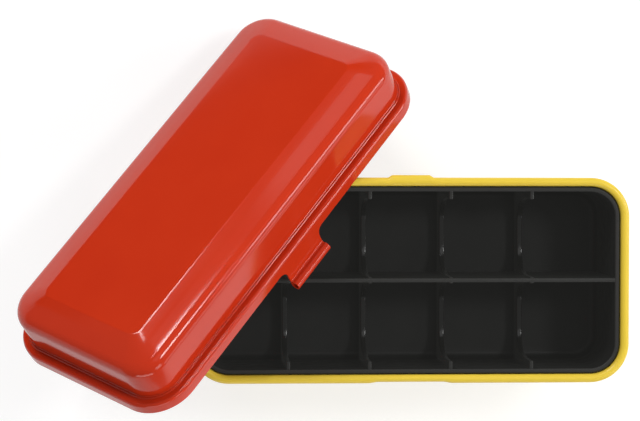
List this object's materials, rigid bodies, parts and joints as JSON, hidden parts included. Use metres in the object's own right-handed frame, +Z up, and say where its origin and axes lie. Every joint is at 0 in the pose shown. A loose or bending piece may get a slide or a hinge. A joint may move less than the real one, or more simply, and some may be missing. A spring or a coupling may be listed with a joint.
{
  "type": "film storage case",
  "caption": "Oblong steel case for 35 mm film with a lift-out divided insert and a press-on lid, shown open with the lid leaning on its back rim.",
  "frame": {"origin": "middle of the base's flat underside", "axes": "+Z up, +X along the base's length, -Y towards the base's front long side"},
  "size_m": [0.2368, 0.1503, 0.1156],
  "materials": {
    "yellow_paint": "semi-gloss yellow enamel on pressed steel",
    "black_plastic": "satin black moulded plastic",
    "red_paint": "glossy red enamel on pressed steel"
  },
  "bodies": {
    "base": {"base_shell": "yellow_paint"},
    "tray": {"inner_tray": "black_plastic"},
    "lid": {"lid_shell": "red_paint"},
    "front_tab": {"front_latch_tab": "red_paint"},
    "rear_tab": {"rear_latch_tab": "red_paint"}
  },
  "joints": [
    {"name": "tray_lift", "type": "slide", "parent": "base", "child": "tray", "axis": [0, 0, 1], "range_m": [0, 0.068]},
    {"name": "lid_lift", "type": "slide", "parent": "tray", "child": "lid", "axis": [0, 0, 1], "range_m": [0, 0.09]},
    {"name": "front_tab_flex", "type": "hinge", "parent": "lid", "child": "front_tab", "pos_m": [-0.04361, 0.01253, 0.07803], "axis": [-0.5878, -0.7231, 0.3627], "range_deg": [0, 8], "stiffness_Nm_per_rad": 0.05, "springref_deg": -5.73},
    {"name": "rear_tab_flex", "type": "hinge", "parent": "lid", "child": "rear_tab", "pos_m": [-0.10371, 0.03589, 0.02721], "axis": [0.5878, 0.7231, -0.3627], "range_deg": [0, 8], "stiffness_Nm_per_rad": 0.05, "springref_deg": -5.73}
  ]
}
